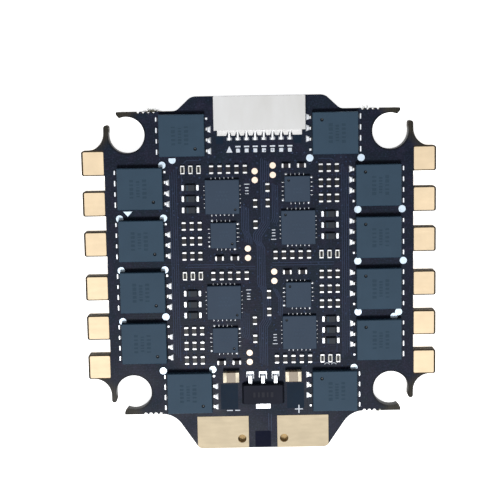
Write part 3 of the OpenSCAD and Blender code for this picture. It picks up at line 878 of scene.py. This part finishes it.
def make_regulator():
    """The low wide package, its leads and the solder that each of them stands in."""
    box = whole("regulator_body")
    c, s = middle(box), size(box)
    hx, hy, low, high = s.x / 2, s.y / 2, box[0].z + 0.05, box[1].z
    shape = Shape()
    shape.loft([rounded(c.x, c.y, hx - 0.06, hy - 0.04, 0.08, low, 2),
                rounded(c.x, c.y, hx, hy, 0.08, low + 0.2, 2),
                rounded(c.x, c.y, hx - 0.2, hy - 0.07, 0.08, high - 0.04, 2),
                rounded(c.x, c.y, hx - 0.24, hy - 0.1, 0.08, high, 2)])
    dashes(shape, c.x, c.y, high, 1, ((0.0, 2.6, 5, 0.3),), 7)
    piece("regulator_package", shape, [regulator_epoxy, regulator_mark], ["regulator_body"])
    metal = Shape()
    pick = random.Random(3)
    for lead in solids("regulator_leads"):
        m, t = middle(lead), size(lead)
        if m.y < c.y:
            pat(metal, m.x, lead[0].y + 0.1, t.x / 2 + 0.02, 0.15, 0.14)
        else:
            arms = [t.y * pick.uniform(0.35, 0.9) for _ in range(2)]
            cradle(metal, m.x, lead[1].y, t.x / 2, arms, 0.1 if abs(m.x - c.x) < 0.1 else 0.085)
    dress("regulator_leads", solder, 0.04)
    piece("regulator_solder", metal, [solder], ())


def cradle(shape, x, tip, half_lead, arms, arm):
    """A solder fillet round three sides of a lead, a little clear of its end."""
    half = half_lead + 0.1 + 2 * arm
    for side, length in zip((-1, 1), arms):
        pat(shape, x + side * (half - arm), tip + 0.3 - length / 2, arm, length / 2 + 0.1, 0.12)
    pat(shape, x, tip + 0.31, half, 0.19, 0.14)
    wedge_up(shape, x, tip, half_lead)


def wedge_up(shape, x, tip, half):
    """The steep face of solder that climbs a lead's cut end."""
    rings = []
    for reach, high in ((0.16, 0), (0.16, 0.06), (0.03, 0.3)):
        near, far = tip - 0.02, tip + reach
        rings.append([(x - half, near, TOP + high), (x + half, near, TOP + high),
                      (x + half, far, TOP + high), (x - half, far, TOP + high)])
    shape.loft(rings)


# ---- Printed and etched detail ----

INK_T = 0.012
ETCH_T = 0.02
TRACE_W = 0.1
VIA_COUNT = 260
VIA_TRIES = 6000
VIA_R = 0.14
VIA_GAP = 0.5


def stroke(shape, path, width, high=ETCH_T):
    """A flat-topped strip with mitred corners along a path."""
    points = [Vector(p).to_2d() for p in path]
    left, right = [], []
    for i, p in enumerate(points):
        before = (p - points[i - 1]).normalized() if i else None
        after = (points[i + 1] - p).normalized() if i + 1 < len(points) else None
        before, after = before or after, after or before
        along = (before + after).normalized()
        reach = width / 2 / max(0.3, along.dot(after))
        normal = Vector((-along.y, along.x)) * reach
        left.append(p + normal)
        right.append(p - normal)
    rows = [shape.ring([(*(l.lerp(r, t)), TOP + h) for l, r in zip(left, right)])
            for t, h in ((0, 0), (0.12, high), (0.88, high), (1, 0))]
    for a, b in zip(rows, rows[1:] + rows[:1]):
        for i in range(len(points) - 1):
            shape.face([a[i], b[i], b[i + 1], a[i + 1]])
    for end, turn in ((0, 1), (-1, -1)):
        shape.face([row[end] for row in rows][::turn])


def bundle(shape, path, count, pitch):
    """Parallel traces, spaced evenly across the first one's path."""
    for k in range(count):
        stroke(shape, [(x + k * pitch, y - abs(k * pitch) * 0.4) for x, y in path], TRACE_W)


def make_traces():
    """Traces on both faces, and the copper areas and the window behind the regulator."""
    shape = Shape()
    bundle(shape, [(0.2, 12.3), (0.2, 4.9), (-0.75, 3.5), (-0.75, 2.9), (-0.35, 2.2), (-0.35, -2.4),
                   (0.25, -3.4), (0.25, -6.6), (-0.2, -7.3), (-0.2, -11.9)], 5, 0.22)
    bundle(shape, [(-2.1, 6.9), (-2.1, 4.1), (-1.75, 3.3), (-1.75, 2.6)], 5, 0.2)
    bundle(shape, [(1.5, 9.4), (1.5, 5.4), (1.3, 4.9)], 4, 0.21)
    bundle(shape, [(-2.4, -5.5), (-2.4, -8.0), (-2.15, -8.8)], 5, 0.24)
    bundle(shape, [(1.45, -2.9), (2.1, -4.2), (2.1, -6.2)], 3, 0.2)
    bundle(shape, [(0.7, -18.0), (0.7, -20.1)], 2, 0.3)
    for y in (0.0, -0.3):
        stroke(shape, [(-8.5, y), (-3.2, y), (-2.9, y - 0.3), (-0.6, y - 0.3)], 0.1)
        stroke(shape, [(1.4, y + 0.1), (8.6, y + 0.1)], 0.1)
    for side in (-1, 1):
        for k in range(3):
            x = side * (16.2 - 0.9 * k)
            for y in (9.1, 3.05, -3.05):
                stroke(shape, [(x, y - 0.42), (x, y + 0.42)], 0.08)
        for k in range(4):
            x = side * (9.6 + 0.25 * k)
            stroke(shape, [(x, 11.5 - 0.3 * k), (x, -11.4 + 0.3 * k)], 0.09)
        front = [(6.9, 12.2), (8.4, 12.2), (9.0, 11.6), (9.0, 8.4)]
        rear = [(5.3, -11.9), (8.2, -11.9), (8.9, -11.2), (8.9, -8.6)]
        for path in (front, rear):
            stroke(shape, [(side * x, y) for x, y in path], 0.09)
    shape.merge(under_traces().flip())
    piece("etched_traces", shape, [trace_mask], ())
    planes = Shape()
    for side in (-1, 1):
        tile(planes, side * 3.92, -15.92, 1.02, 1.52, TOP, 0, ETCH_T * 0.5, 0.05)
        tile(planes, side * 4.5, 14.5, 0.42, 0.46, TOP, 0, ETCH_T * 0.5, 0.05)
    tile(planes, 0, -21.15, 0.93, 0.98, TOP, 1, ETCH_T * 0.5, 0.05)
    piece("etched_planes", planes, [plane_mask, window_mask], ())


def under_traces():
    """The underside's traces, laid out as if they were on the top face."""
    shape = Shape()
    bundle(shape, [(-0.9, 13.6), (-0.9, 6.2), (-1.5, 5.4), (-1.5, -4.8), (-0.7, -5.9), (-0.7, -12.4)],
           6, 0.26)
    for side in (-1, 1):
        for start in (9.6, 4.9, 0.3, -4.9):
            for k in range(3):
                y = start + 0.24 * k
                path = [(2.2, y), (6.6, y), (7.1, y + 0.5), (9.9, y + 0.5)]
                stroke(shape, [(side * x, at) for x, at in path], TRACE_W)
        for k in range(3):
            x = side * (7.0 + 0.25 * k)
            turned = x - side * 0.8
            stroke(shape, [(x, -6.4), (x, -9.8), (turned, -10.8), (turned, -12.2)], TRACE_W)
    return shape


def covered(margin, below):
    """Boxes that the tented vias keep clear of, on one face of the board."""
    nodes = [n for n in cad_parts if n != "circuit_board"]
    boxes = [box for n in nodes for box in solids(n) if (box[0].z < UNDER if below else box[1].z > TOP)]
    return [(b[0].xy - Vector((margin, margin)), b[1].xy + Vector((margin, margin))) for b in boxes]


def via(shape, x, y, r):
    """A low ring of mask with a dip in it."""
    shape.loft([circle_ring(x, y, r, TOP, 10), circle_ring(x, y, r * 0.8, TOP + 0.018, 10),
                circle_ring(x, y, r * 0.5, TOP + 0.018, 10), circle_ring(x, y, r * 0.3, TOP + 0.004, 10)],
               0, True)


def via_field(seed, below):
    """Tented vias strewn over one face of the board, between its parts."""
    pick = random.Random(seed)
    taken = covered(VIA_R + 0.05, below)
    placed = []
    shape = Shape()
    for _ in range(VIA_TRIES):
        p = Vector((round(pick.uniform(-12, 12), 1), round(pick.uniform(-13, 13.5), 1)))
        if any(a.x < p.x < b.x and a.y < p.y < b.y for a, b in taken):
            continue
        if any((p - q).length < VIA_GAP for q in placed):
            continue
        placed.append(p)
        via(shape, p.x, p.y, VIA_R * pick.uniform(0.75, 1.05))
        if len(placed) == VIA_COUNT:
            break
    return shape


def make_vias():
    shape = via_field(4, False)
    shape.merge(via_field(9, True).flip())
    piece("tented_vias", shape, [trace_mask], ())


ARC_STEPS = 10


def arc(cx, cy, r, start, end):
    """Points along part of a circle, between two angles in degrees."""
    turns = [math.radians(start + (end - start) * i / ARC_STEPS) for i in range(ARC_STEPS + 1)]
    return [(cx + r * math.cos(a), cy + r * math.sin(a)) for a in turns]


def make_legend():
    """Polarity signs, pin marks and plain ticks in printed ink."""
    shape = Shape()
    for x, half in ((-3.91, 0.35), (-2.99, 0.3)):
        tile(shape, x, -17.6, half, 0.06, TOP, 0, INK_T)
    tile(shape, 4.31, -17.56, 0.48, 0.06, TOP, 0, INK_T)
    tile(shape, 4.31, -17.56, 0.07, 0.5, TOP, 0, INK_T * 1.2)
    for k, contact in enumerate(sorted(middle(b).x for b in solids("connector_contacts"))):
        if k:
            tile(shape, contact, 13.72, 0.3, 0.08, TOP, 0, INK_T)
            tile(shape, contact, 13.26, 0.22, 0.22, TOP, 0, INK_T)
        else:
            corners = ((contact - 0.36, 13.05), (contact + 0.36, 13.05), (contact, 13.8))
            shape.loft([[(x, y, TOP + h) for x, y in corners] for h in (0, INK_T)])
    for number in range(1, 5):
        c = middle(whole(f"gate_driver_{number}"))
        turn = 1 if number % 2 else -1
        x, y = c.x + turn * 2.88, c.y + turn * 0.3
        for k in range(3):
            tile(shape, x, y + turn * 0.34 * k, 0.2, 0.05, TOP, 0, INK_T)
        tile(shape, x, y + turn * 1.1, 0.3, 0.045, TOP, 0, INK_T)
    for cx in (7.7, 8.5):
        stroke(shape, arc(cx, -12.3, 0.3, 20, 160), 0.07, INK_T)
    piece("printed_legend", shape, [ink], ())


# ---- Frayed edges ----

FIBRE_R = 0.028
EDGE_Y = 17.84
# At each corner: the side of the board, how many fibres stand there, around which X, and how far
# to either side of it
FRAYS = ((1, 90, -12.3, 0.8), (1, 14, 12.5, 1.0), (-1, 10, -12.8, 1.2), (-1, 44, 13.8, 0.35))


def make_fibres():
    """Loose glass fibres left standing where the board was broken out of its panel."""
    pick = random.Random(11)
    shape = Shape()
    for sy, count, at, half in FRAYS:
        for _ in range(count):
            lie = pick.uniform(-1, 1)
            start = Vector((at + half * lie, sy * EDGE_Y, pick.uniform(UNDER + 0.3, TOP - 0.1)))
            reach = pick.uniform(0.15, 0.45) * (1.15 - abs(lie))
            lean = Vector((pick.uniform(-0.4, 0.4), sy * reach, pick.uniform(-0.15, 0.15)))
            bend = Vector((pick.uniform(-0.2, 0.2), sy * pick.uniform(0, 0.1), 0))
            across = lean.cross(Vector((0, 0, 1))).normalized() * FIBRE_R
            up = Vector((0, 0, FIBRE_R))
            rings = [[start + lean * t + bend * t * t + d * (1.2 - t) for d in (across, up, -across, -up)]
                     for t in (0, 0.35, 0.7, 1)]
            shape.loft(rings if sy > 0 else [r[::-1] for r in rings], 0, True)
    piece("frayed_fibres", shape, [loose_fibre], ())


# ---- Battery pads ----

SHADE_PLUG_R = 0.49


def make_battery_pads():
    """The plated pads, with a plug filling each hole from near the underside, coloured like the shaded
    floor that shows through an open hole: painted shade.
    """
    shape = Shape()
    for sign in ("negative", "positive"):
        pad = dress(f"battery_pad_{sign}", battery_gold, 0.02)
        low, high = whole(f"battery_pad_{sign}")
        points = [v.co / MM for v in pad.data.vertices]
        rim = [p for p in points
               if low.x + 0.2 < p.x < high.x - 0.2 and low.y + 0.2 < p.y < high.y - 0.2]
        at = sum(rim, Vector()) / len(rim)
        # A plug from near the underside to 0.6 below the top face, coloured to paint the shaded floor
        # under the board
        levels = ((SHADE_PLUG_R, UNDER + 0.02), (SHADE_PLUG_R, TOP - 0.6), (SHADE_PLUG_R * 0.7, TOP - 0.66))
        shape.loft([circle_ring(at.x, at.y, r, z) for r, z in levels], smooth=True)
    piece("hole_shade_plug", shape, [painted_hole_shade], ())


# ---- Connector ----

def make_connector():
    """The CAD's housing, contacts and hold-downs, with solder at each foot."""
    dress("connector_housing", nylon, 0.06, 3)
    dress("connector_contacts", tinned, 0.02)
    dress("connector_hold_downs", tinned, 0.03)
    shape = Shape()
    for box in solids("connector_contacts"):
        x, foot = middle(box).x, box[0].y
        blob(shape, x, foot + 0.17, 0.33, 0.2, 0.2, corner=0.3)
    for box in solids("connector_hold_downs"):
        c, h = middle(box), size(box)
        blob(shape, c.x, c.y, h.x / 2 + 0.1, h.y / 2 + 0.1, 0.1, corner=0.2)
    piece("connector_solder", shape, [solder], ())


# ---- Stage ----

# Angles in degrees, the camera's place in millimetres
TILT = 7.85
TURN = 0.04
ROLL = 0.99
CAMERA_AT = Vector((-1.29, 21.04, 140.74 + TOP))
LENS = 87.5
SENSOR = 36.0
FLOOR_HALF = 1.5
FLOOR_GAP = 0.02


def make_camera():
    camera = bpy.data.objects.new("camera", bpy.data.cameras.new("camera"))
    camera.data.lens = LENS
    camera.data.sensor_width = SENSOR
    camera.data.clip_start = 0.001
    camera.data.clip_end = 10
    turn = (Matrix.Rotation(math.radians(-TILT), 4, "X") @ Matrix.Rotation(math.radians(-TURN), 4, "Y")
            @ Matrix.Rotation(math.radians(-ROLL), 4, "Z"))
    camera.matrix_world = Matrix.Translation(CAMERA_AT * MM) @ turn
    bpy.context.scene.collection.objects.link(camera)
    bpy.context.scene.camera = camera


def make_floor():
    """Plain pale paper just under the part."""
    mesh = bpy.data.meshes.new("floor")
    z = cad_box[0][2] - FLOOR_GAP * MM
    corners = ((-1, -1), (1, -1), (1, 1), (-1, 1))
    mesh.from_pydata([(x * FLOOR_HALF, y * FLOOR_HALF, z) for x, y in corners], [], [(0, 1, 2, 3)])
    floor = bpy.data.objects.new("floor", mesh)
    bpy.context.scene.collection.objects.link(floor)
    f = Finish("studio_paper", 0.9, specular=0.1)
    grain = f.noise(0.4, 3)
    f.shader.inputs["Emission Color"].default_value = (1, 1, 1, 1)
    f.shader.inputs["Emission Strength"].default_value = 0.9
    mesh.materials.append(f.done(f.ramp(grain, (0.3, srgb(248, 248, 248)), (0.7, srgb(252, 252, 252)))))


def area_light(name, at, width, watts):
    """A square lamp that faces the part."""
    data = bpy.data.lights.new(name, "AREA")
    data.shape = "SQUARE"
    data.size = width
    data.energy = watts
    light = bpy.data.objects.new(name, data)
    light.location = at
    light.rotation_euler = (-Vector(at)).to_track_quat("-Z", "Y").to_euler()
    bpy.context.scene.collection.objects.link(light)


def make_light():
    world = bpy.data.worlds.new("studio")
    world.use_nodes = True
    world.node_tree.nodes["Background"].inputs["Color"].default_value = (0.93, 0.97, 1, 1)
    world.node_tree.nodes["Background"].inputs["Strength"].default_value = 0.14
    bpy.context.scene.world = world
    area_light("key", (-0.03, -0.24, 0.55), 0.12, 2.3)
    area_light("overhead", (0, -0.09, 0.5), 0.5, 0.4)
    bpy.context.scene.view_settings.view_transform = "Standard"


make_camera()
make_floor()
make_light()
make_board()

for corner in ("front_left", "front_right", "rear_left", "rear_right"):
    make_motor_pads(corner)
make_battery_pads()
dress("test_pads", test_gold, 0.02)
dress("solder_dots", dot_solder, 0.08, 3)
for side in ("top", "under"):
    for number in range(1, 13):
        make_mosfet(side, number)
    make_mosfet_leads(side)
for number in range(1, 5):
    make_chip("gate_driver", number, DRIVER_MARKS)
    make_chip("microcontroller", number, MCU_MARKS)
make_terminals("gate_driver", 0.17, 0.3, 0.19)
make_terminals("microcontroller", 0.13, 0.36, 0.36)
make_diodes()
make_regulator()

small_ends = solids("small_chip_ends")
small_metal = make_chips("small_capacitor", "small_capacitors", [dark_ceramic], small_ends, 0.03)
small_metal.merge(make_chips("small_resistor", "small_resistors", [alumina, black_glaze], small_ends,
                             0.03, True))
piece("small_chip_metal", small_metal, [tinned, solder], ["small_chip_ends"])
large_metal = make_chips("large_capacitor", "large_capacitors", [tan_ceramic],
                         solids("large_capacitor_ends"), 0.005)
piece("large_capacitor_metal", large_metal, [cap_end, solder], ["large_capacitor_ends"])
shunt_metal = make_chips("current_shunt", "current_shunt", [alumina, black_glaze],
                         solids("current_shunt_ends"), 0.25, True)
piece("current_shunt_metal", shunt_metal, [tinned, solder], ["current_shunt_ends"])

make_connector()
make_traces()
make_vias()
make_legend()
make_fibres()
